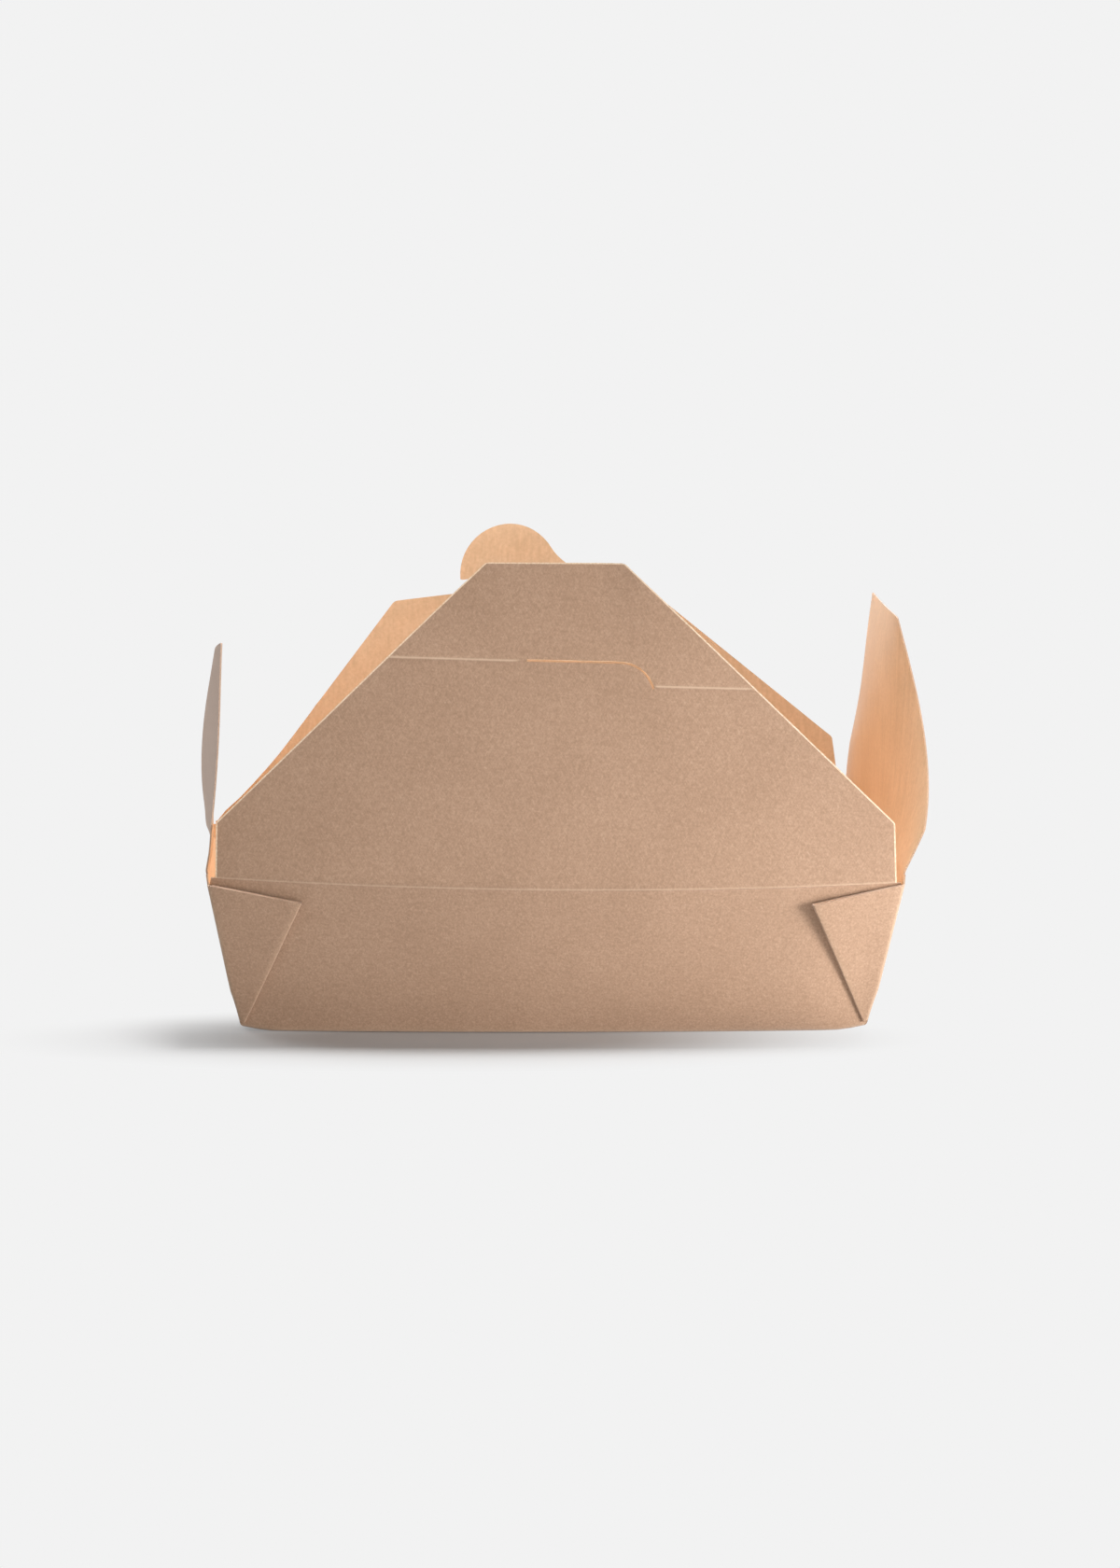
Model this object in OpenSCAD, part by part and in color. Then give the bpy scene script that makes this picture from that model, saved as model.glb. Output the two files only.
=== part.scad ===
// Takeaway box folded from one sheet of kraft board: a tray with glued corner gussets and four lid flaps.
// Millimetres. Origin: middle of the floor, on its underside. +X is right, +Y is the back, +Z is up.
// The flaps stand open, each leaning and twisting as in the picture the box was measured from.

/* [Board] */
// thickness of the board
board = 0.5; // [0.35:0.05:0.7]
// outside radius of the folds between floor, walls and corners
fold_r = 1.2; // [0.8:0.1:2]

/* [Tray] */
// outside length at the rim creases, left to right
rim_l = 214; // [180:1:240]
// outside width at the rim creases, front to back
rim_w = 158; // [130:1:180]
// length of the floor
base_l = 195; // [165:1:220]
// width of the floor
base_w = 139; // [115:1:160]
// height of the rim creases above the table
rim_h = 51.5; // [40:0.5:65]
// how far the folded corners stop below the rim creases
web_drop = 3; // [2:0.5:5]
// how much lower the front wall's crease lies than the others
front_drop = 2.5; // [0:0.1:3]

/* [Corner gussets] */
// length of a gusset's folded edge
gusset_len = 47.8; // [38:0.1:50]
// angle of the folded edge from the wall's upright
gusset_turn = 23.4; // [18:0.1:28]
// start of the gusset above the floor fold
gusset_foot = 1.6; // [1.4:0.1:3]
// turn of the gusset away from its wall about the box's corner, degrees
gusset_lean = 3; // [0.5:0.1:4]

/* [Front and back flaps] */
// half length of both flaps along their creases
long_hw = 104; // [88:0.5:106]
// straight part of the back flap's short sides
long_side = 15; // [10:0.5:20]
// straight part of the front flap's short sides
front_side = 17.7; // [12:0.1:22]
// height of the front flap
front_h = 100.2; // [85:0.1:102]
// lean of the front flap towards the inside, degrees
front_lean = 22; // [5:1:30]
// height of the back flap without its tongue
back_h = 80.7; // [70:0.1:85]
// half length of the back flap's top edge
back_top = 41; // [38:0.5:45]
// lean of the back flap towards the outside, degrees
back_lean = 15; // [5:1:25]
// turn of the back flap in its own plane, left end down, degrees
back_skew = 7.2; // [0:0.1:8]

/* [Tongue and slot] */
// radius of the tongue's head
tongue_r = 17.8; // [15:0.1:19]
// height of the head's centre above the flap's top edge
tongue_up = 4.3; // [4.1:0.1:5.3]
// height of the notch under the hook
hook_gap = 4.5; // [3.5:0.1:5]
// width of the curved slot
slot_w = 0.7; // [0.5:0.1:1]
// height of the upper crease left of the slot
slot_v = 68.7; // [62:0.1:72]
// drop of the slot's curved right end
slot_drop = 8.7; // [6:0.1:10]

/* [Side flaps] */
// half length of both flaps along their creases
side_hw = 76.5; // [60:0.5:77]
// straight part of their short sides
side_low = 14; // [10:0.5:18]
// height of the flap
side_h = 72; // [60:0.5:76]
// half length of the flap's top edge
side_top = 30; // [24:0.5:36]
// turn of the left flap in its own plane, back end down, degrees
left_skew = 11.5; // [0:0.1:13]

/* [Hidden] */
kraft = [0.72, 0.58, 0.47];
wall_lean = atan((rim_w - base_w) / 2 / rim_h);
side_lean = atan((rim_l - base_l) / 2 / rim_h);
slant = rim_h / cos(wall_lean);
// centres of the balls that round the folds; a ball's lowest ring lies 7.5 degrees off its pole
ball_z = fold_r * cos(7.5);
ball_x = base_l / 2 + ball_z * tan(side_lean) - fold_r / cos(side_lean);
ball_y = base_w / 2 + ball_z * tan(wall_lean) - fold_r / cos(wall_lean);
// hinge lines of the flaps, in the middle of the board just above the rim
hinge_x = rim_l / 2 - board / 2;
hinge_y = rim_w / 2 - board / 2;
hinge_z = rim_h + 0.4;
front_hinge_y = hinge_y - front_drop * tan(wall_lean);
flap_foot = 0.2;
tongue_v = back_h + tongue_up;
// lean and curl of the right flap along its crease, as start, slope and bend; seen from its own wall
right_form = [-2.3, -11.3, 15.8, -2.6, -22.6, -2.8];
left_form = [1, -9.5, 10.7, 6.3, -16.8, -14.4];

// Corner b of an outline through a, b and c, rounded with radius r.
function round_at(a, b, c, r, n = 4) =
  let (
    u = (a - b) / norm(a - b),
    w = (c - b) / norm(c - b),
    half = acos(u * w) / 2,
    mid = b + (u + w) / norm(u + w) * r / sin(half),
    p = b + u * r / tan(half) - mid,
    q = b + w * r / tan(half) - mid,
    start = atan2(p[1], p[0]),
    turn = (atan2(q[1], q[0]) - start + 540) % 360 - 180
  )
  [for (i = [0 : n]) mid + r * [cos(start + turn * i / n), sin(start + turn * i / n)]];

// Outline with every corner of radius above zero rounded.
function rounded(pts, r) =
  let (m = len(pts))
  [for (i = [0 : m - 1]) each
    (r[i] > 0 ? round_at(pts[(i + m - 1) % m], pts[i], pts[(i + 1) % m], r[i]) : [pts[i]])];

// Quadratic curve from a to c pulled towards b.
function bend(a, b, c, n = 8) =
  [for (i = [0 : n]) let (t = i / n) (1 - t) * (1 - t) * a + 2 * t * (1 - t) * b + t * t * c];

// Sideways unit vector of a path at point i.
function across(p, i) =
  let (d = p[min(i + 1, len(p) - 1)] - p[max(i - 1, 0)])
  [-d[1], d[0]] / norm(d);

// Ribbon of width w along a path.
function ribbon(p, w) =
  let (m = len(p) - 1)
  concat([for (i = [0 : m]) p[i] + across(p, i) * w / 2],
         [for (i = [m : -1 : 0]) p[i] - across(p, i) * w / 2]);

// Round rod between two points.
module rod(p, q, r1, r2) {
  d = q - p;
  translate(p)
    rotate([0, acos(d[2] / norm(d)), atan2(d[1], d[0])])
      cylinder(h = norm(d), r1 = r1, r2 = r2, $fn = 32);
}

// Tapered body with rounded folds, as high as the rim and a little more.
module body(r) {
  up = rim_h + 5 - ball_z;
  hull()
    for (sx = [-1, 1], sy = [-1, 1]) {
      translate([sx * ball_x, sy * ball_y, ball_z])
        sphere(r, $fn = 24);
      translate([sx * (ball_x + up * tan(side_lean)), sy * (ball_y + up * tan(wall_lean)), ball_z + up])
        sphere(r, $fn = 24);
    }
}

// What is cut off one rim corner, seen along its diagonal.
module corner_cut() {
  translate([-web_drop / sqrt(2), 0, 0])
    rotate([0, atan(sqrt(2)), 0])
      translate([-1, -9, 0])
        cube([18, 18, 12]);
}

// Floor and four walls.
module pan() {
  difference() {
    body(fold_r);
    body(fold_r - board);
    translate([-rim_l, -rim_w, rim_h])
      cube([2 * rim_l, 2 * rim_w, 30]);
    translate([-long_hw - 0.6, -rim_w / 2 - 3, rim_h - front_drop])
      cube([2 * long_hw + 1.2, 6, 10]);
    for (c = [[1, 1, 45], [-1, 1, 135], [-1, -1, 225], [1, -1, 315]])
      translate([c[0] * rim_l / 2, c[1] * rim_w / 2, rim_h])
        rotate([0, 0, c[2]])
          corner_cut();
  }
}

// One corner web folded double against the outside of a long wall, in the wall's plane.
// s is the end of the wall: -1 left, 1 right. It stands off the wall a little at its folded edge.
module gusset(s) {
  low = [s * (base_l / 2 - 0.4), gusset_foot, 0];
  top_v = slant - web_drop / cos(wall_lean);
  corner = [s * (base_l / 2 + top_v * sin(side_lean) - 0.5), top_v, 0];
  tip = [s * (base_l / 2 - gusset_len * sin(gusset_turn)), gusset_len * cos(gusset_turn), 0];
  off = norm(cross(tip - low, corner - low)) / norm(corner - low) * sin(gusset_lean);
  mid = board + 0.05;
  for (z = [0.03, board + 0.08])
    translate(low)
      rotate(a = s * gusset_lean, v = corner - low)
        translate([-low[0], -low[1], z])
          linear_extrude(board)
            polygon([[low[0], low[1]], [corner[0], corner[1]], [tip[0], tip[1]]]);
  // the rounded corner of the box, closed round both plies
  rod(low + [0, 0, mid - 0.1], corner + [0, 0, mid - 0.1], 0.68, 0.68);
  // the folded edge
  rod(low + [-s * 0.2, 0, mid], tip + [0, 0, mid + off], 0.58, 0.58);
}

module tray() {
  color(kraft) {
    pan();
    for (turn = [0, 180])
      rotate([0, 0, turn])
        translate([0, -base_w / 2, 0])
          rotate([90 + wall_lean, 0, 0])
            for (s = [-1, 1])
              gusset(s);
  }
}

// Upper crease and curved lock slot of the front flap.
slot_path = [
  [-8.9, slot_v],
  [5, slot_v - 0.3],
  each bend([19.2, slot_v - 0.6], [27.6, slot_v - 0.7], [30.2, slot_v - slot_drop - 0.2])
];

module front_flap() {
  cut = front_h - front_side;
  color(kraft)
    translate([0, -front_hinge_y, hinge_z - front_drop])
      rotate([90 - front_lean, 0, 0]) {
        difference() {
          translate([0, 0, -board / 2])
            linear_extrude(board)
              polygon(rounded([[-long_hw, flap_foot], [long_hw, flap_foot], [long_hw, front_side],
                               [long_hw - cut, front_h], [cut - long_hw, front_h], [-long_hw, front_side]],
                              [0, 0, 2, 2.5, 2.5, 2]));
          translate([0, 0, -board])
            linear_extrude(2 * board)
              polygon(ribbon(slot_path, slot_w));
          translate([-9, slot_v, -board])
            cylinder(h = 2 * board, r = 0.6, $fn = 24);
        }
        // the pressed creases stand out a little on the outer face
        translate([0, 0, board / 2 - 0.1])
          linear_extrude(0.22) {
            polygon(ribbon([[-50.5, slot_v + 0.9], [-12.4, slot_v - 0.1]], 0.9));
            polygon(ribbon([[31.2, slot_v - 8.2], [59.6, slot_v - 8.9]], 0.9));
          }
      }
}

// Back flap as cut: both sides alike, and on top the round tongue with a hook on its left.
function head_left(n) = [for (i = [0 : n]) let (a = 178 - 88 * i / n) [0.5, tongue_v] + tongue_r * [cos(a), sin(a)]];
function head_right(n) =
  [for (i = [1 : n]) let (a = 90 - 65 * i / n) [0.5 + (tongue_r - 1.2) * cos(a), tongue_v + tongue_r * sin(a)]];

module back_blank() {
  shoulder_l = round_at([-long_hw, 0], [-long_hw, long_side], [-back_top, back_h], 2);
  corner_l = round_at([-long_hw, long_side], [-back_top, back_h], [0, back_h], 3);
  corner_r = round_at([0, back_h], [back_top, back_h], [long_hw, long_side], 3);
  shoulder_r = round_at([back_top, back_h], [long_hw, long_side], [long_hw, 0], 2);
  neck = head_right(9);
  end = neck[len(neck) - 1];
  polygon(concat(
    [[-long_hw, -2]], shoulder_l, corner_l,
    [[-10.4, back_h], [-9.6, back_h + 0.8], [-9.6, back_h + hook_gap - 0.8], [-10.4, back_h + hook_gap]],
    [[1.4 - tongue_r, back_h + hook_gap], [0.7 - tongue_r, back_h + hook_gap + 0.15]],
    head_left(12), neck,
    [for (i = [1 : 8]) bend(end, end + [2.4, -5.5], [tongue_r + 9.7, back_h])[i]],
    corner_r, shoulder_r, [[long_hw, -2]]));
}

module back_flap() {
  color(kraft)
    translate([0, hinge_y, hinge_z])
      rotate([90 - back_lean, 0, 0])
        translate([0, 0, -board / 2])
          linear_extrude(board)
            intersection() {
              translate([long_hw, 0])
                rotate(back_skew)
                  translate([-long_hw, 0])
                    back_blank();
              translate([-150, flap_foot])
                square([300, 150]);
            }
}

// Side flap on the right wall: a thin twisted sheet made of columns that run up from the crease.
// The blank is turned by skew about its end at p * side_hw and ends at the crease line.
module side_flap(form, p, skew) {
  rows = 8;
  slope = (side_h - side_low) / (side_hw - side_top);
  cut = side_hw - side_top;
  reach = min(2 * side_hw,
              (side_low + 2 * side_hw * slope - flap_foot / cos(skew) - 1) / (tan(skew) + slope));
  // distances of the columns from the turning end
  steps = concat([for (i = [0 : 5]) cut * i / 6],
                 [for (i = [0 : 5]) cut + 2 * side_top * i / 6],
                 [for (i = [0 : 6]) cut + 2 * side_top + (reach - cut - 2 * side_top) * i / 6]);
  m = len(steps) - 1;
  cols = p < 0 ? steps : [for (i = [m : -1 : 0]) steps[i]];
  function top_at(d) = side_low + slope * min(cut, d, 2 * side_hw - d);
  function foot_at(d) = d * tan(skew) + flap_foot / cos(skew);
  // point at distance d from the turning end and fraction k up its column, g off the middle of the board
  function at(d, k, g) =
    let (
      v0 = foot_at(d) + (top_at(d) - foot_at(d)) * k,
      s = p * (side_hw - d * cos(skew) - v0 * sin(skew)),
      v = v0 * cos(skew) - d * sin(skew),
      t = s / side_hw,
      lean = form[0] + form[1] * t + form[2] * t * t,
      curl = (form[3] + form[4] * t + form[5] * t * t) / side_h,
      face = lean - curl * v
    )
    [hinge_x + (lean * v - curl * v * v / 2) * PI / 180 + g * cos(face), s,
     hinge_z + v * cos(lean - curl * v / 2) - g * sin(face)];
  n = (m + 1) * (rows + 1);
  outer = [for (d = cols, j = [0 : rows]) at(d, j / rows, board / 2)];
  inner = [for (d = cols, j = [0 : rows]) at(d, j / rows, -board / 2)];
  function id(i, j) = i * (rows + 1) + j;
  sides = [for (i = [0 : m - 1], j = [0 : rows - 1])
    each [[id(i, j), id(i, j + 1), id(i + 1, j + 1)], [id(i, j), id(i + 1, j + 1), id(i + 1, j)]]];
  edge = concat([for (j = [0 : rows - 1]) id(0, j)], [for (i = [0 : m - 1]) id(i, rows)],
                [for (j = [rows : -1 : 1]) id(m, j)], [for (i = [m : -1 : 1]) id(i, 0)]);
  e = len(edge);
  rim = [for (i = [0 : e - 1])
    let (a = edge[i], b = edge[(i + 1) % e])
    each [[a, a + n, b + n], [a, b + n, b]]];
  polyhedron(points = concat(outer, inner),
             faces = concat(sides, [for (f = sides) [f[0] + n, f[2] + n, f[1] + n]], rim));
}

module right_flap() {
  color(kraft)
    side_flap(right_form, -1, 0);
}

module left_flap() {
  color(kraft)
    rotate([0, 0, 180])
      side_flap(left_form, 1, left_skew);
}

// which piece to show

tray();
front_flap();
back_flap();
left_flap();
right_flap();
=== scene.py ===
# Takeaway box folded from one sheet of brown kraft board, standing open on a pale table.
# Sizes in the pieces' own sections are millimetres, and each finished mesh is in metres.
import math

import bmesh
import bpy
from mathutils import Matrix, Vector, geometry


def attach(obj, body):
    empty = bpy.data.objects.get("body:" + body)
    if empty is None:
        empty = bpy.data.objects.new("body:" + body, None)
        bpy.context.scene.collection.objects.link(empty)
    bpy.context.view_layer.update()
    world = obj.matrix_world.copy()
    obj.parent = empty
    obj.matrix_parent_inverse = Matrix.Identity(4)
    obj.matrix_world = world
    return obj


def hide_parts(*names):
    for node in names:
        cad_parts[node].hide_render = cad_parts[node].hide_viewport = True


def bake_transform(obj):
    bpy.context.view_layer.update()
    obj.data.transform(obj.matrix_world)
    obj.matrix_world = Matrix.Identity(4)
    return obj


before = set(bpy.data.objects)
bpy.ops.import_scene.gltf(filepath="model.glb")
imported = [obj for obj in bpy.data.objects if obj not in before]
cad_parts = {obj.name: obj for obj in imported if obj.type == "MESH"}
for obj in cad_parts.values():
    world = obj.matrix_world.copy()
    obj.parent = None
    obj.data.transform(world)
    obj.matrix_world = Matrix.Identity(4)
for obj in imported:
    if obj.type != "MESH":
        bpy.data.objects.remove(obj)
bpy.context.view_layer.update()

# Tray: the floor and four outward-leaning walls of one sheet of 0.5 mm kraft board, brown and matt outside
# and with a golden coating inside. Its four corner webs are folded double and glued on the long walls.
# The folds are pressed, so they are round outside and a shade lighter than the board.
class Amount:
    """A socket of a material, with which sums are written as they are read."""

    def __init__(self, finish, socket):
        self.finish = finish
        self.socket = socket

    def sum_with(self, operation, first, second):
        return self.finish.node("ShaderNodeMath", {"operation": operation}, {0: first, 1: second})

    def __add__(self, other):
        return self.sum_with("ADD", self, other)

    def __radd__(self, other):
        return self.sum_with("ADD", other, self)

    def __mul__(self, other):
        return self.sum_with("MULTIPLY", self, other)

    def __rmul__(self, other):
        return self.sum_with("MULTIPLY", other, self)


class Finish:
    """The nodes of a board, of the table or of the room, built round its one shader."""

    def __init__(self, owner, shader="Principled BSDF"):
        owner.use_nodes = True
        self.owner = owner
        self.tree = owner.node_tree
        self.shader = self.tree.nodes[shader]

    def node(self, kind, settings=None, sockets=None, out=0):
        made = self.tree.nodes.new(kind)
        for key, value in (settings or {}).items():
            if key == "stops":
                for i, (place, colour) in enumerate(value):
                    stop = made.color_ramp.elements[i] if i < 2 else made.color_ramp.elements.new(place)
                    stop.position = place
                    stop.color = (*colour, 1.0)
            else:
                setattr(made, key, value)
        for key, value in (sockets or {}).items():
            self.feed(made.inputs[key], value)
        return Amount(self, made.outputs[out])

    def feed(self, socket, value):
        if isinstance(value, Amount):
            self.tree.links.new(value.socket, socket)
        elif isinstance(value, tuple) and len(value) == 3 and socket.type == "RGBA":
            socket.default_value = (*value, 1.0)
        else:
            socket.default_value = value

    def noise(self, scale, stretch=(1, 1, 1), turn=0.0, detail=3.0, roughness=0.55):
        place = self.node("ShaderNodeTexCoord", out="Object")
        course = {"Vector": place, "Rotation": (0.0, math.radians(turn), math.radians(turn))}
        place = self.node("ShaderNodeMapping", {"vector_type": "TEXTURE"}, course)
        size = {"Vector": place, "Scale": tuple(scale * s for s in stretch)}
        place = self.node("ShaderNodeMapping", {}, size)
        grain = {"Vector": place, "Scale": 1.0, "Detail": detail, "Roughness": roughness}
        return self.node("ShaderNodeTexNoise", {}, grain)

    def ramp(self, amount, *stops):
        return self.node("ShaderNodeValToRGB", {"stops": stops}, {0: amount})

    def specks(self, amount, low, high):
        return self.ramp(amount, (low, (0, 0, 0)), (high, (1, 1, 1)))

    def mix(self, share, first, second):
        return self.node("ShaderNodeMix", {"data_type": "RGBA"}, {0: share, 6: first, 7: second}, out=2)

    def mark(self, name):
        return self.node("ShaderNodeAttribute", {"attribute_name": name}, out=2)

    def bump(self, height, strength, distance=0.0001):
        return self.node("ShaderNodeBump", {}, {"Height": height, "Strength": strength, "Distance": distance})

    def set(self, **values):
        for key, value in values.items():
            self.feed(self.shader.inputs[key.replace("_", " ")], value)


def paint(red, green, blue):
    """A colour read off a screen, 0 to 255, as linear light."""
    shares = [c / 255 for c in (red, green, blue)]
    return tuple(c / 12.92 if c < 0.04045 else ((c + 0.055) / 1.055) ** 2.4 for c in shares)


def kraft_board():
    """Brown outer face: fine crossed fibres, soft clouds, sparse dark and pale flecks, and pale folds."""
    kraft = Finish(bpy.data.materials.new("kraft_board"))
    clouds = kraft.noise(45, detail=2.0)
    pulp = kraft.noise(1500, detail=3.0, roughness=0.7)
    rising = kraft.noise(2300, (1, 1, 0.25), turn=38, detail=2.0)
    falling = kraft.noise(2300, (1, 1, 0.25), turn=-35, detail=2.0)
    level = kraft.noise(1700, (0.25, 0.25, 1), turn=6, detail=2.0)
    grain = clouds * 0.1 + pulp * 0.36 + rising * 0.21 + falling * 0.21 + level * 0.12
    dark, middle, light = paint(162, 128, 101), paint(176, 141, 114), paint(190, 155, 128)
    colour = kraft.ramp(grain, (0.4, dark), (0.5, middle), (0.6, light))
    flecks = kraft.specks(kraft.noise(1100, (0.35, 0.35, 1.6), turn=20, detail=1.0), 0.67, 0.75)
    colour = kraft.mix(flecks * 0.16, colour, paint(140, 104, 78))
    pale = kraft.specks(kraft.noise(1300, (1.5, 1.5, 0.3), turn=-25, detail=1.0), 0.66, 0.76)
    colour = kraft.mix(pale * 0.22, colour, paint(214, 186, 162))
    colour = kraft.mix(kraft.mark("fold") * 0.6, colour, paint(220, 190, 162))
    bump = kraft.bump(pulp * 0.4 + rising * 0.3 + falling * 0.3, 0.25)
    kraft.set(Base_Color=colour, Roughness=pulp * 0.16 + 0.56, Normal=bump, Specular_IOR_Level=0.5)
    kraft.set(Sheen_Weight=0.3, Sheen_Roughness=0.5)
    return kraft.owner


def coated_board():
    """Golden inner face: the same board under a thin greaseproof coating with a satin sheen."""
    coated = Finish(bpy.data.materials.new("coated_board"))
    clouds = coated.noise(55, detail=2.0)
    pulp = coated.noise(900, detail=3.0, roughness=0.6)
    streaks = coated.noise(700, (1, 1, 0.07), detail=2.0)
    grain = clouds * 0.25 + pulp * 0.4 + streaks * 0.35
    dark, middle, light = paint(214, 176, 136), paint(223, 185, 146), paint(232, 195, 157)
    colour = coated.ramp(grain, (0.38, dark), (0.5, middle), (0.62, light))
    colour = coated.mix(coated.mark("fold") * 0.3, colour, paint(242, 212, 178))
    bump = coated.bump(pulp * 0.5 + streaks * 0.5, 0.16)
    coated.set(Base_Color=colour, Roughness=streaks * 0.14 + 0.38, Normal=bump, Specular_IOR_Level=0.8)
    return coated.owner


def cut_edge():
    """Die-cut edge of the board: raw pale pulp, a little uneven along its length."""
    edge = Finish(bpy.data.materials.new("cut_edge"))
    pulp = edge.noise(1400, detail=2.0)
    colour = edge.ramp(pulp, (0.35, paint(228, 196, 162)), (0.65, paint(246, 224, 198)))
    edge.set(Base_Color=colour, Roughness=pulp * 0.1 + 0.8, Normal=edge.bump(pulp, 0.3))
    return edge.owner


finishes = [kraft_board(), coated_board(), cut_edge()]
board = 0.5
wall_spread, wall_rise = 9.5, 51.5
wall_lean = math.atan2(wall_spread, wall_rise)
# the middle of the board: where floor and walls meet, and the creases above the walls
floor_z = board / 2
long_half, short_half = 97.29, 69.29
crease_z = 51.9
crease_x = long_half + (crease_z - floor_z) * math.tan(wall_lean)
crease_y = short_half + (crease_z - floor_z) * math.tan(wall_lean)
# half lengths of the creases above the long and the short walls
flap_half, side_half = 104.0, 76.5
# the front crease lies lower, and its flap leans in
front_hinge_y, front_hinge_z = 78.2885, 49.4
front_lean = math.radians(-22)
# how far it drops to its right end, sags and bows out in the middle, and the half length of that bow
front_tilt, front_sag, front_bow, bow_half = 0.65, 2.1, 4.0, 107
# the back left corner has sunk and been pushed to the left, fully so from this height up
corner_sink, corner_push, sink_z = 15.0, 7.8, 50.9
# radii of the folds at the floor and at the webs' corners, and how far a floor fold reaches in
fold_r, corner_r = 0.95, 0.8
fold_inset = fold_r * math.tan((math.pi / 2 - wall_lean) / 2)


def held(value):
    """A value held between 0 and 1."""
    return min(max(value, 0.0), 1.0)


def sunk(x, y, z):
    """The open box has sunk and spread at its back left corner: how far a point of the tray has moved."""
    back = held((y + side_half) / (2 * side_half))
    left = held((flap_half - x) / (2 * flap_half))
    moved = Vector((-corner_push * back ** 1.9 * left ** 4, 0.0, -corner_sink * back * left ** 1.3))
    return moved * min(z / sink_z, 1.0)


def middle_share(x):
    """1 in the middle of the front, 0 at its ends."""
    return max(0.0, 1 - (x / bow_half) ** 2)


def front_crease(x):
    """The front crease sags and bows outwards: its distance out and its height."""
    z = front_hinge_z - front_tilt * x / flap_half - front_sag * (1 - (x / flap_half) ** 2)
    return front_hinge_y + (front_hinge_z - z) * math.tan(-front_lean) + front_bow * middle_share(x), z


def front_belly(x, z):
    """How far the front wall stands out of its plane at x and z."""
    out, top = front_crease(x)
    up = min(z / top, 1.0)
    plane = short_half + (top - floor_z) * math.tan(wall_lean)
    roll_z, roll_out, foot_out, middle_out = 11, 2.2, 3.5, 1.4
    # on the right the wall curls under before it meets the floor, most of all from 70 to 80 mm off the middle
    roll = roll_out * z / roll_z * math.exp(1 - z / roll_z) * held(x / 70) * held((95 - x) / 15)
    swell = foot_out * (1 - up) + middle_out * math.sin(math.pi * up)
    return roll + (out - plane) * up + middle_share(x) * swell


def board_piece(name, sheet, node, rim=2):
    """A sheet as a board with the three finishes, standing for a node. Its rim is pale at 2, brown at 0."""
    bmesh.ops.scale(sheet, vec=(0.001, 0.001, 0.001), verts=sheet.verts)
    mesh = bpy.data.meshes.new(name)
    sheet.to_mesh(mesh)
    sheet.free()
    for finish in finishes:
        mesh.materials.append(finish)
    piece = bpy.data.objects.new(name, mesh)
    bpy.context.collection.objects.link(piece)
    solid = piece.modifiers.new("board", "SOLIDIFY")
    solid.thickness = board * 0.001
    solid.offset = 0.0
    solid.use_even_offset = True
    solid.material_offset = 1
    solid.material_offset_rim = rim
    bpy.context.view_layer.update()
    thick = bpy.data.meshes.new_from_object(piece.evaluated_get(bpy.context.evaluated_depsgraph_get()))
    piece.modifiers.clear()
    thick.name = name
    piece.data = thick
    thick.shade_smooth()
    thick.set_sharp_from_angle(angle=math.radians(40))
    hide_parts(node)
    return piece


# the webs' lower and upper edge up a wall, and their top's tip: in from the floor's end, and up the wall
web_foot, web_top = 1.9, 49.2
web_tip_in, web_tip_up = 18.9, 43.9
# where the two plies of a web lie over the middle of their wall's board
inner_ply, outer_ply = 0.53, 1.06
# how far a web's top edge stands off its wall at its corner and at its tip, and how soon it rises there
web_stand = {
    (-1, -1): (2.1, 1.6, 1.0),
    (1, -1): (1.0, 2.6, 2.2),
    (-1, 1): (0.6, 1.3, 1.0),
    (1, 1): (0.6, 1.3, 1.0),
}
# a web's grid: its rows, the columns where its bend, outer ply and corner fold begin, and the last column
web_rows, bend_from, outer_from, corner_from, web_columns = 12, 13, 19, 30, 34


def off_wall(w, k):
    """Distance out and height of a point w up a long wall's slope and k off it."""
    return (short_half + w * math.sin(wall_lean) + k * math.cos(wall_lean),
            floor_z + w * math.cos(wall_lean) - k * math.sin(wall_lean))


def ply_offset(v, outer, corner, share):
    """How far a ply stands off its wall at height v, from the corner at share 0 to the folded edge at 1."""
    near, tip, power = web_stand[corner]
    spread = (near + (tip - near) * share ** 1.3) * (v / web_top) ** power
    return outer_ply + spread if outer else inner_ply + spread * 0.75


def web_corner(v, corner):
    """Where a short wall's edge meets the outer ply: the wall's own y beyond the long wall, and z."""
    return off_wall(v, ply_offset(v, True, corner, 0) - corner_r)


def web_point(v, column, corner):
    """A point of a corner web at height v, as x, y and z, and how strongly its fold shows."""
    tip_x, tip_v = long_half - web_tip_in * v / web_top, web_tip_up * v / web_top
    corner_x = long_half + v * math.sin(wall_lean)
    if column <= bend_from:
        share = 0.04 + 0.96 * column / bend_from
        x, w = corner_x + (tip_x - corner_x) * share, v + (tip_v - v) * share
        k, mark = ply_offset(v, False, corner, share), 0.0
    elif column < outer_from:
        angle = math.pi * (column - bend_from) / (outer_from - bend_from)
        low = ply_offset(v, False, corner, 1)
        bend_r = (ply_offset(v, True, corner, 1) - low) / 2
        x, w = tip_x - bend_r * math.sin(angle), tip_v
        k, mark = low + bend_r * (1 - math.cos(angle)), 0.2
    elif column <= corner_from:
        share = 1 - (column - outer_from) / (corner_from - outer_from)
        start_x = corner_x - corner_r
        x, w = start_x + (tip_x - start_x) * share, v + (tip_v - v) * share
        k, mark = ply_offset(v, True, corner, share), 0.15 if column in (outer_from, corner_from) else 0.0
    else:
        angle = math.pi / 2 * (column - corner_from) / (web_columns - corner_from)
        x, w = corner_x - corner_r + corner_r * math.sin(angle), v
        k = ply_offset(v, True, corner, 0) - corner_r + corner_r * math.cos(angle)
        mark = 0.5 if column < web_columns else 0.2
    y, z = off_wall(w, k)
    if column == web_columns:
        y, z = web_corner(v, corner)
        x = long_half + (z - floor_z) * math.tan(wall_lean)
    return x, y, z, mark


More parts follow.
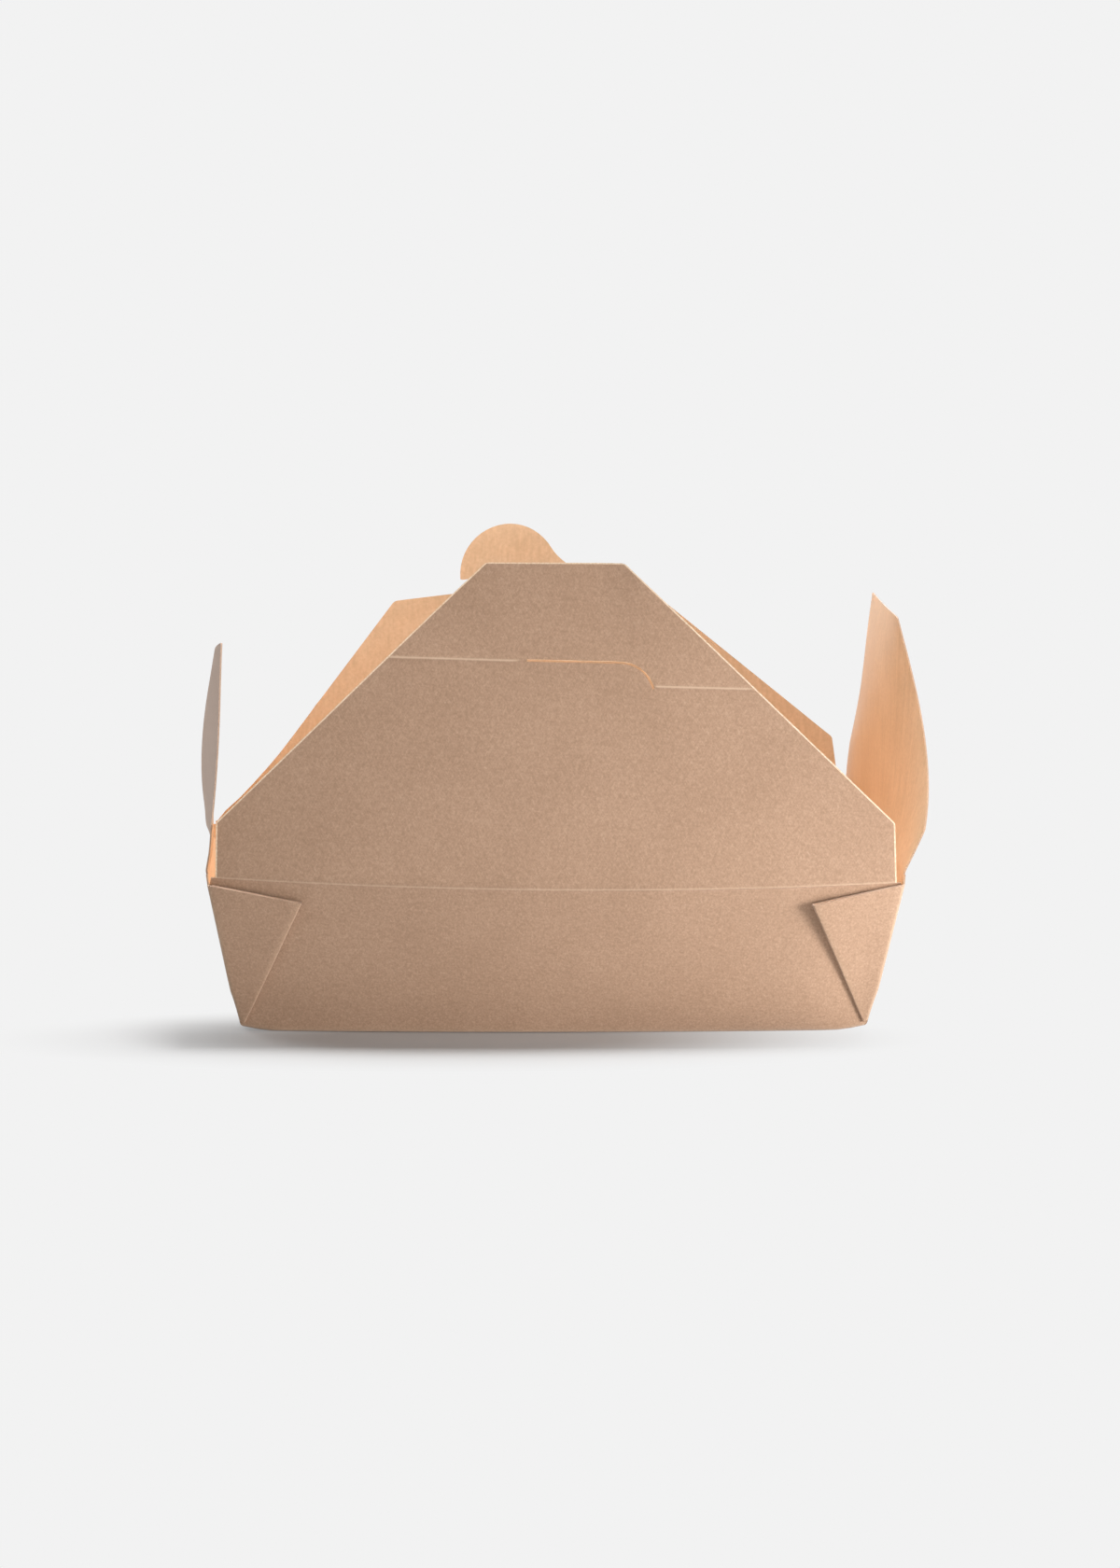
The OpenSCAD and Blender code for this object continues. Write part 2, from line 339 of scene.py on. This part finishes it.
def tray_sheet():
    """The tray as the middle of its board: floor, four walls and four doubled corner webs."""
    # steps up a wall: round the floor fold, past it, up to the web's top, and to the crease
    turn = math.pi / 2 - wall_lean
    fold_steps = 4
    rows = []
    for k in range(1, fold_steps + 1):
        angle = turn * k / fold_steps
        rows.append((fold_r * math.sin(angle) - fold_inset, fold_r * (1 - math.cos(angle))))
    heights = [web_foot + (web_top - web_foot) * k / web_rows for k in range(web_rows + 1)]
    straight = heights + [50.3, (crease_z - floor_z) / math.cos(wall_lean) - 1]
    rows += [(v * math.sin(wall_lean), v * math.cos(wall_lean)) for v in straight]
    wall_foot, wall_top = rows[fold_steps][1], rows[-1][1]

    sheet = bmesh.new()
    fold = sheet.verts.layers.float.new("fold")
    bmesh.ops.create_grid(sheet, x_segments=44, y_segments=30, size=1.0)
    flat_floor = Matrix.Diagonal((long_half - fold_inset, short_half - fold_inset, 1, 1))
    bmesh.ops.transform(sheet, verts=sheet.verts, matrix=Matrix.Translation((0, 0, floor_z)) @ flat_floor)
    for vert in sheet.verts:
        vert.co.z = floor_z
    for axis, sign in ((1, -1), (1, 1), (0, -1), (0, 1)):
        reach = (short_half if axis else long_half) - fold_inset
        other = (long_half if axis else short_half) - fold_inset
        line = []
        for edge in sheet.edges:
            at_side = all(abs(v.co[axis] - sign * reach) < 1e-4 for v in edge.verts)
            if at_side and all(abs(v.co.z - floor_z) < 1e-4 for v in edge.verts):
                line.append(edge)
        along = {v: v.co[1 - axis] / other for e in line for v in e.verts}
        for number, (out, rise) in enumerate(rows):
            made = bmesh.ops.extrude_edge_only(sheet, edges=line)["geom"]
            edges = [g for g in made if isinstance(g, bmesh.types.BMEdge)]
            line = [e for e in edges if all(v not in along for v in e.verts)]
            fresh = {v for e in line for v in e.verts}
            below = along
            along = {}
            for vert in fresh:
                partner = next(e.other_vert(vert) for e in vert.link_edges if e.other_vert(vert) in below)
                along[vert] = below[partner]
            past_fold = number >= fold_steps
            v = straight[number - fold_steps] if past_fold else 0.0
            for vert, share in along.items():
                z = floor_z + rise
                half = other + fold_inset + out
                corner = (sign, 1 if share > 0 else -1)
                if axis:
                    if sign < 0 and past_fold:
                        # the front wall ends at its own sagging crease
                        fit = (front_crease(share * half)[1] - floor_z) / math.cos(wall_lean) - 1
                        up = (rise - wall_foot) / (wall_top - wall_foot)
                        z = floor_z + wall_foot + (fit - wall_foot) * up
                    # a long wall ends just inside its webs, and narrows above them
                    half -= board / 2 + 0.05 + max(0.0, v - web_top) * 0.45
                    depth = short_half + ((z - floor_z) * math.tan(wall_lean) if past_fold else out)
                    vert.co = Vector((share * half, sign * depth, z))
                else:
                    if web_foot <= v <= web_top:
                        # at its ends a short wall's rows drop to meet the webs
                        half, low = web_corner(v, corner)
                        z = z + (low - z) * abs(share) ** 20
                        out = (z - floor_z) * math.tan(wall_lean)
                    elif v > web_top:
                        half = web_corner(web_top, corner)[0] - (v - web_top) * 0.9
                    vert.co = Vector((sign * (long_half + out), share * half, z))
                vert[fold] = 0.5 if number < 3 else 0.2 if number == 3 else 0.0

    for corner in ((-1, -1), (-1, 1), (1, -1), (1, 1)):
        web = bmesh.ops.create_grid(sheet, x_segments=web_columns, y_segments=web_rows, size=1.0)["verts"]
        for vert in web:
            row = round((vert.co.y + 1) / 2 * web_rows)
            column = round((vert.co.x + 1) / 2 * web_columns)
            x, y, z, vert[fold] = web_point(heights[row], column, corner)
            vert.co = Vector((corner[0] * x, corner[1] * y, z))
    bmesh.ops.remove_doubles(sheet, verts=sheet.verts, dist=0.02)
    bmesh.ops.recalc_face_normals(sheet, faces=sheet.faces)
    middle = min(sheet.faces, key=lambda f: (f.calc_center_median() - Vector((0, 0, floor_z))).length)
    if middle.normal.z > 0:
        bmesh.ops.reverse_faces(sheet, faces=sheet.faces)
    # the floor follows the belly from this far in front of its middle
    belly_from = 35
    # the front corners of the floor are lifted off the table a little: where, how widely and how far
    lift_x, lift_y, lift_reach, lift_z = 100, 72, 15, 14
    lift_in, lift_back, lift_up = 0.9, 0.6, 2.8
    for vert in sheet.verts:
        x, y, z = vert.co
        if y < -belly_from:
            inwards = min(1.0, (-y - belly_from) / (short_half - belly_from - 1))
            vert.co.y -= front_belly(x, z) * inwards * inwards
        away = math.hypot(abs(x) - lift_x, y + lift_y) / lift_reach
        near = max(0.0, 1 - away) ** 2 * max(0.0, 1 - z / lift_z)
        lift = Vector((math.copysign(lift_in * near, -x), lift_back * near, lift_up * near))
        vert.co += sunk(x, y, z) + lift
    return sheet


tray = board_piece("tray_board", tray_sheet(), "tray", rim=0)
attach(tray, "tray")


# Front flap: one panel with 45 degree corners, creased to the tray's front wall and leaning in over the tray.
# An upper crease crosses it and ends in the curved slot that the tongue locks into. The die has left its
# outer edges pale.
def on_sheet(x, y):
    """A point of a flat sheet."""
    return Vector((x, y, 0))


def slice_along(sheet, a, b, step):
    """Cuts the faces near a segment along its line, so that the segment lies on edges."""
    span = (b - a).length
    course = (b - a) / span
    aside = on_sheet(-course.y, course.x)
    near = [f for f in sheet.faces
            if abs((f.calc_center_median() - a).dot(aside)) < step * 1.3
            and -step * 1.3 < (f.calc_center_median() - a).dot(course) < span + step * 1.3]
    parts = set(near) | {e for f in near for e in f.edges} | {v for f in near for v in f.verts}
    bmesh.ops.bisect_plane(sheet, geom=list(parts), dist=1e-4, plane_co=a, plane_no=aside)


def sides(loop):
    """The sides of a closed loop, each as its two ends."""
    return list(zip(loop, loop[1:] + loop[:1]))


def inside(point, loop):
    """Whether a flat point lies inside a closed loop."""
    odd = False
    for a, b in sides(loop):
        if (a.y > point.y) != (b.y > point.y) and point.x < a.x + (point.y - a.y) / (b.y - a.y) * (b.x - a.x):
            odd = not odd
    return odd


# half the width of a scored line, and the width of the pale band along the front flap's edges
score_half, edge_band = 0.45, 0.45


def cut_board(outline, step, holes=(), lines=(), levels=(), border=0.0):
    """A flat gridded sheet, cut to an outline with holes, with edges along lines, levels and its border."""
    low = on_sheet(min(p.x for p in outline), min(p.y for p in outline))
    high = on_sheet(max(p.x for p in outline), max(p.y for p in outline))
    size = high - low
    sheet = bmesh.new()
    bmesh.ops.create_grid(sheet, x_segments=round(size.x / step), y_segments=round(size.y / step), size=0.5)
    bmesh.ops.transform(
        sheet, verts=sheet.verts,
        matrix=Matrix.Translation((low + high) / 2) @ Matrix.Diagonal((size.x, size.y, 1, 1)))
    for level in levels:
        bmesh.ops.bisect_plane(sheet, geom=sheet.verts[:] + sheet.edges[:] + sheet.faces[:], dist=1e-4,
                               plane_co=(0, level, 0), plane_no=(0, 1, 0))
    for loop in (outline, *holes):
        for a, b in sides(loop):
            slice_along(sheet, a, b, step)
    for a, b in lines:
        aside = on_sheet(a.y - b.y, b.x - a.x).normalized()
        for shift in (-score_half, 0.0, score_half):
            slice_along(sheet, a + aside * shift, b + aside * shift, step)
    for a, b in sides(outline):
        if border and (b - a).length > step:
            aside = on_sheet(a.y - b.y, b.x - a.x).normalized() * border
            slice_along(sheet, a + aside, b + aside, step)
    spare = []
    for face in sheet.faces:
        centre = face.calc_center_median()
        if not inside(centre, outline) or any(inside(centre, hole) for hole in holes):
            spare.append(face)
    bmesh.ops.delete(sheet, geom=spare, context="FACES")
    bmesh.ops.remove_doubles(sheet, verts=sheet.verts, dist=0.02)
    return sheet


def corner_round(a, b, c, radius):
    """The corner b of a path through a, b and c as an arc."""
    u, w = (a - b).normalized(), (c - b).normalized()
    half = u.angle(w) / 2
    centre = b + (u + w).normalized() * radius / math.sin(half)
    first, last = b + u * radius / math.tan(half) - centre, b + w * radius / math.tan(half) - centre
    sweep = first.angle(last) * (1 if first.cross(last).z > 0 else -1)
    steps = 4
    return [centre + Matrix.Rotation(sweep * k / steps, 3, "Z") @ first for k in range(steps + 1)]


def rounded(points, radii):
    """A closed outline with some corners rounded."""
    path = []
    for k, (x, y) in enumerate(points):
        if radii[k]:
            around = [on_sheet(*points[(k + d) % len(points)]) for d in (-1, 0, 1)]
            path += corner_round(*around, radii[k])
        else:
            path.append(on_sheet(x, y))
    return path


def pulled(start, pull, end, t):
    """The point at t from 0 to 1 on a curve from start to end that bends towards a third point."""
    return start * (1 - t) ** 2 + pull * 2 * t * (1 - t) + end * t ** 2


def ribbon(path, width):
    """A closed outline of some width along a path."""
    aside = []
    for k in range(len(path)):
        course = path[min(k + 1, len(path) - 1)] - path[max(k - 1, 0)]
        aside.append(on_sheet(-course.y, course.x).normalized() * width / 2)
    return [p + s for p, s in zip(path, aside)] + [p - s for p, s in zip(path[::-1], aside[::-1])]


def near_line(point, a, b, reach):
    """1 on a segment, falling to 0 at the given distance."""
    spot, share = geometry.intersect_point_line(point, a, b)
    spot = a if share < 0 else b if share > 1 else spot
    return max(0.0, 1 - (point - spot).length / reach)


def turned_path(corner, before, after, w):
    """Distance out and height at w along a path that turns at a crease, rounded within 1 mm of it."""
    before, after = Vector((math.sin(before), math.cos(before))), Vector((math.sin(after), math.cos(after)))
    corner = Vector(corner)
    if abs(w) < 1:
        return pulled(corner - before, corner, corner + after, (w + 1) / 2)
    return corner + (after if w > 0 else before) * w


def fold_mark(w, strength, reach):
    """How strongly a crease shows at w from its line."""
    return strength * max(0.0, 1 - abs(w) / reach)


grid_step = 3.0
crease_levels = (-0.5, -0.25, 0.0, 0.25, 0.5, 1.0, 1.8)
front_top, front_side = 100.2, 17.7
slot_v, slot_drop, slot_width = 68.7, 8.7, 0.7
slot_bend = (
    on_sheet(19.2, slot_v - 0.6), on_sheet(27.6, slot_v - 0.7), on_sheet(30.2, slot_v - slot_drop - 0.2))
slot_path = [on_sheet(-8.9, slot_v), on_sheet(5, slot_v - 0.3)]
slot_path += [pulled(*slot_bend, k / 8) for k in range(9)]
upper_creases = [(on_sheet(-53, slot_v + 1.0), on_sheet(-11.6, slot_v - 0.1)),
                 (on_sheet(30.9, slot_v - 8.2), on_sheet(61, slot_v - 8.9))]
cut = front_top - front_side
front_outline = rounded(
    [(-flap_half, -1), (flap_half, -1), (flap_half, front_side), (flap_half - cut, front_top),
     (cut - flap_half, front_top), (-flap_half, front_side)],
    [0, 0, 2, 2.5, 2.5, 2])
front_sheet = cut_board(
    front_outline, grid_step, [ribbon(slot_path, slot_width)], upper_creases, crease_levels, edge_band)
fold = front_sheet.verts.layers.float.new("fold")
front_edges = [(a, b) for a, b in sides(front_outline) if max(a.y, b.y) > 1]
for face in front_sheet.faces:
    if max(near_line(face.calc_center_median(), a, b, edge_band) for a, b in front_edges) > 0:
        face.material_index = 2
# the flap follows the sagging crease up to this height, and its bow reaches further
sag_top, sag_fade, bow_reach = 13, 12, 70
# above the slot and its creases the flap leans in a little more, and its top curls back out
more_lean, curl_back = 0.07, 0.004
# that bend drops with the slot: from this x, over this width, by this much
drop_x, drop_run, bend_drop = 12, 18, 8.4
# how deep its upper creases are pressed
press_depth = 0.12
for vert in front_sheet.verts:
    x, v = vert.co.x, vert.co.y
    score = max(near_line(vert.co, a, b, score_half) for a, b in upper_creases)
    vert[fold] = max(fold_mark(v, 0.8, 0.5), 1.4 * score)
    corner = front_crease(x)
    if v < 1:
        out, z = turned_path(corner, wall_lean, front_lean, v)
    else:
        up = v + (corner[1] - front_hinge_z) / math.cos(front_lean) * held((sag_top - v) / sag_fade)
        bow = front_bow * middle_share(x) * max(0.0, 1 - (v - 1) / bow_reach) ** 2
        out = front_hinge_y + up * math.sin(front_lean) + bow
        z = front_hinge_z + up * math.cos(front_lean)
    along = held((x - drop_x) / drop_run)
    over = max(0.0, v - slot_v - 0.2 + bend_drop * along * along * (3 - 2 * along))
    pressed = Vector((0, -math.cos(front_lean), -math.sin(front_lean))) * press_depth * score
    vert.co = Vector((x, -out + over * (more_lean - curl_back * over), z)) + pressed
front_flap = board_piece("front_flap_board", front_sheet, "front_flap")
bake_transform(front_flap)


# Back flap: the panel on the tray's back wall, with a round tongue on top that has a hook on its left.
# It leans out, and the open box has let it turn in its own plane, so its left end sits lower.
def turned(points, angle, x):
    """Flat points turned about a point on the crease line."""
    return [Matrix.Rotation(angle, 3, "Z") @ (p - on_sheet(x, 0)) + on_sheet(x, 0) for p in points]


def above_crease(points):
    """The part of a closed outline above the sheet's lower end, 1 mm under the crease."""
    low = -1.0
    kept = []
    for a, b in sides(points):
        if a.y >= low:
            kept.append(a)
        if (a.y - low) * (b.y - low) < 0:
            kept.append(a.lerp(b, (low - a.y) / (b.y - a.y)))
    return kept


def oval_arc(centre, width, height, first, last, count):
    """Points on an oval round a flat point, from one angle in degrees to another."""
    angles = [math.radians(first + (last - first) * k / count) for k in range(count + 1)]
    return [on_sheet(centre.x + width * math.cos(a), centre.y + height * math.sin(a)) for a in angles]


back_lean, back_turn = math.radians(15), math.radians(7.2)
back_side, back_top, back_v, hook_gap = 15, 41.0, 80.7, 4.5
# the flap bends down to its sunk crease below this height
back_foot = 24
head_r, head_centre = 17.8, on_sheet(0.5, 85.0)
back_corners = [on_sheet(x, y) for x, y in (
    (-flap_half, 0), (-flap_half, back_side), (-back_top, back_v),
    (back_top, back_v), (flap_half, back_side), (flap_half, 0))]
rounds = [corner_round(*back_corners[k:k + 3], radius) for k, radius in enumerate((2, 3, 3, 2))]
head = oval_arc(head_centre, head_r, head_r, 178, 90, 12)
head += oval_arc(head_centre, head_r - 1.2, head_r, 90, 25, 9)[1:]
neck = head[-1]
flare = [pulled(neck, neck + on_sheet(2.4, -5.5), on_sheet(27.5, back_v), k / 8) for k in range(1, 9)]
notch = [on_sheet(x, y) for x, y in (
    (-10.4, back_v), (-9.6, back_v + 0.8), (-9.6, back_v + hook_gap - 0.8), (-10.4, back_v + hook_gap),
    (-16.4, back_v + hook_gap), (-17.1, back_v + hook_gap + 0.15))]
blank = ([on_sheet(-flap_half, -2)] + rounds[0] + rounds[1] + notch + head + flare
         + rounds[2] + rounds[3] + [on_sheet(flap_half, -2)])


def back_sunk(x):
    """How far the back crease has sunk at x."""
    return -sunk(x, crease_y, crease_z).z


def back_height(x, w):
    """Height over the level crease line, of a point of the sheet w over its own crease."""
    return w - back_sunk(x) * held((back_foot - w) / back_foot)


def back_flat(x, height):
    """The place over its own crease of a point at x and a height over the level crease line."""
    low, high = -2.0, 130.0
    for _ in range(40):
        w = (low + high) / 2
        low, high = (w, high) if back_height(x, w) < height else (low, w)
    return w


back_outline = []
outline = turned(blank, back_turn, flap_half)
for a, b in sides(outline):
    pieces = max(1, round((b - a).length / 6)) if min(a.y, b.y) < 30 and min(a.x, b.x) < -60 else 1
    back_outline += [a.lerp(b, k / pieces) for k in range(pieces)]
back_outline = [on_sheet(p.x, back_flat(p.x, p.y)) for p in back_outline if p.y > -back_sunk(p.x) - 2.5]
back_sheet = cut_board(above_crease(back_outline)[::-1], grid_step, levels=crease_levels)
fold = back_sheet.verts.layers.float.new("fold")
for vert in back_sheet.verts:
    x, w = vert.co.x, vert.co.y
    vert[fold] = fold_mark(w, 0.5, 0.6)
    moved = sunk(x, crease_y, crease_z)
    if w < 1:
        out, z = turned_path((crease_y, crease_z + moved.z), wall_lean, back_lean * (1 + moved.z / 20), w)
    else:
        height = back_height(x, w)
        # the leaning part begins softly where the crease has sunk
        soft = (height + math.sqrt(height * height + moved.z * moved.z / 9)) / 2
        out = crease_y + soft * math.sin(back_lean)
        z = crease_z + height - soft * (1 - math.cos(back_lean))
    # the crease's push to the left fades above it, about half of it within 4 mm
    up = max(w, 0.0)
    spread = 0.55 * max(0.0, 1 - up / 16) ** 1.5 + 0.45 * max(0.0, 1 - up / 4) ** 2
    vert.co = Vector((x + moved.x * spread, out, z))
bmesh.ops.reverse_faces(back_sheet, faces=back_sheet.faces)
back_flap = board_piece("back_flap_board", back_sheet, "back_flap")
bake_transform(back_flap)


# Side flaps: the two short dust flaps on the tray's short walls. They stand up and twist, each its own way,
# and the left one has also turned in its own plane, so its back end sits lower.
side_low, side_top, side_v = 14.0, 30.0, 72.0
side_blank = rounded(
    [(-side_half, -40), (side_half, -40), (side_half, side_low), (side_top, side_v),
     (-side_top, side_v), (-side_half, side_low)],
    [0, 0, 1.5, 2, 2, 1.5])
# side, turn in its plane, and its lean and curl in degrees at the front end, the middle and the back end
forms = {
    "right": (1, 0.0, (25, -2.5, 2), (17, -2.5, -28)),
    "left": (-1, -11.5, (-1.5, 5.5, 14.5), (22, 15, 46)),
}


def at(angles, t):
    """An angle at t from -1 to 1, on a smooth curve through its values at the front, middle and back."""
    front, middle, back = angles
    return math.radians(middle + (back - front) / 2 * t + ((front + back) / 2 - middle) * t * t)


for side, (sign, turn, leans, curls) in forms.items():
    # the left crease sinks evenly to the back, so its flap's outline is sheared to run level along it
    sink = corner_sink if sign < 0 else 0.0
    outline = turned(side_blank, math.radians(turn), -side_half)
    outline = [on_sheet(p.x, p.y + sink * (p.x + side_half) / (2 * side_half)) for p in outline]
    sheet = cut_board(above_crease(outline), grid_step, levels=crease_levels)
    fold = sheet.verts.layers.float.new("fold")
    for vert in sheet.verts:
        s, w = vert.co.x, vert.co.y
        lean, curl = at(leans, s / side_half), at(curls, s / side_half) / side_v
        vert[fold] = fold_mark(w, 0.5, 0.6)
        moved = sunk(-crease_x, s, crease_z) if sign < 0 else Vector((0, 0, 0))
        corner = (crease_x - moved.x, crease_z + moved.z)
        if w < 1:
            out, z = turned_path(corner, wall_lean, lean, w)
        else:
            out = corner[0] + lean * w - curl * w * w / 2
            z = corner[1] + w * math.cos(lean - curl * w / 2)
        if sign < 0:
            # the left flap steps in just above its crease
            out -= 0.8 * held(w / 6)
        else:
            # the right flap's top edge is nearly straight
            out += 3.0 * max(0.0, 1 - (s / side_top) ** 2) * max(0.0, w / side_v) ** 4
        vert.co = Vector((sign * out, s, z))
    if sign < 0:
        bmesh.ops.reverse_faces(sheet, faces=sheet.faces)
    flap = board_piece(side + "_flap_board", sheet, side + "_flap", rim=0)
    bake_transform(flap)


# Table and light: a plain pale table in a pale room. Soft lamps stand over the box, behind it, low on its
# right, behind its left end and in front. The table's own shading shows only close to the box.
room_light, white = 0.14, paint(242, 242, 242)
# place, aim, width and power
lamps = {
    "overhead_lamp": ((0.02, 0.07, 0.55), (0.02, 0.03, 0.0), 0.14, 2.7),
    "back_lamp": ((0.3, 0.45, 0.5), (0.0, 0.0, 0.05), 0.4, 3.0),
    "right_lamp": ((0.36, -0.26, 0.08), (0.02, -0.08, 0.06), 0.15, 1.65),
    "left_lamp": ((-0.5, 0.2, 0.35), (0.1, 0.0, 0.08), 0.3, 0.9),
    "front_lamp": ((-0.05, -1.0, 0.04), (0.0, 0.0, 0.08), 0.3, 2.8),
}
for name, (spot, aim, width, power) in lamps.items():
    lamp = bpy.data.lights.new(name, "AREA")
    lamp.shape = "SQUARE"
    lamp.size = width
    lamp.energy = power
    piece = bpy.data.objects.new(name, lamp)
    piece.location = spot
    piece.rotation_euler = (Vector(aim) - Vector(spot)).to_track_quat("-Z", "Y").to_euler()
    piece.visible_camera = False
    bpy.context.collection.objects.link(piece)


def background_ray(finish):
    """1 for the rays that show the plain background: to the camera, mirrored, or through glass."""
    names = ("Is Camera Ray", "Is Glossy Ray", "Is Transmission Ray")
    straight, mirrored, through = [finish.node("ShaderNodeLightPath", out=name) for name in names]
    return straight + mirrored + through


def shadow_patch(finish, place, middle, size, start):
    """0 in an oval patch of the table, where its shading shows, rising to 1 at the patch's rim."""
    there = finish.node("ShaderNodeVectorMath", {"operation": "SUBTRACT"}, {0: place, 1: middle})
    there = finish.node("ShaderNodeVectorMath", {"operation": "DIVIDE"}, {0: there, 1: size})
    reach = finish.node("ShaderNodeVectorMath", {"operation": "LENGTH"}, {0: there}, out="Value")
    fade = {0: reach, 1: start, 2: 1.0, 3: 0.0, 4: 1.0}
    return finish.node("ShaderNodeMapRange", {"interpolation_type": "SMOOTHSTEP"}, fade)


table = Finish(bpy.data.materials.new("white_table"))
table.set(Base_Color=(0.6, 0.6, 0.6), Roughness=1.0, Specular_IOR_Level=0.0)
place = table.node("ShaderNodeTexCoord", out="Object")
in_front = shadow_patch(table, place, (-0.03, -0.08, 0.0), (0.15, 0.042, 1.0), 0.25)
behind = shadow_patch(table, place, (0.0, 0.07, 0.0), (0.1, 0.06, 1.0), 0.6)
plain = table.node("ShaderNodeEmission", {}, {"Color": white})
shaded = Amount(table, table.shader.outputs[0])
unshaded = in_front * behind * background_ray(table)
shown = table.node("ShaderNodeMixShader", {}, {0: unshaded, 1: shaded, 2: plain})
table.feed(table.tree.nodes["Material Output"].inputs[0], shown)
ground = bmesh.new()
bmesh.ops.create_grid(ground, x_segments=1, y_segments=1, size=1.5)
bmesh.ops.translate(ground, verts=ground.verts, vec=(0, 0, -0.0001))
mesh = bpy.data.meshes.new("table_top")
ground.to_mesh(mesh)
ground.free()
mesh.materials.append(table.owner)
table_top = bpy.data.objects.new("table_top", mesh)
bpy.context.collection.objects.link(table_top)

room = Finish(bpy.data.worlds.new("room"), "Background")
bpy.context.scene.world = room.owner
glow = {"Value": background_ray(room), "To Min": room_light, "To Max": white[0]}
room.set(Color=(1, 1, 1), Strength=room.node("ShaderNodeMapRange", {}, glow))
bpy.context.scene.view_settings.view_transform = "Standard"

# Camera: a long lens a little above the box and left of its middle, turned towards its right end.
yaw, pitch, roll = math.radians(2.52), math.radians(10.45), math.radians(0.54)
camera_place = (-0.0485, -1.1928, 0.2849)
picture_height, focal_pixels = 1680, 4002
forward = Vector((math.sin(yaw) * math.cos(pitch), math.cos(yaw) * math.cos(pitch), -math.sin(pitch)))
level = Vector((math.cos(yaw), -math.sin(yaw), 0.0))
upright = level.cross(forward)
right = level * math.cos(roll) + upright * math.sin(roll)
up = upright * math.cos(roll) - level * math.sin(roll)
lens = bpy.data.cameras.new("camera")
lens.sensor_fit = "VERTICAL"
lens.sensor_height = 36.0
lens.lens = lens.sensor_height * focal_pixels / picture_height
camera = bpy.data.objects.new("camera", lens)
camera.matrix_world = Matrix.Translation(camera_place) @ Matrix((right, up, -forward)).transposed().to_4x4()
bpy.context.collection.objects.link(camera)
bpy.context.scene.camera = camera
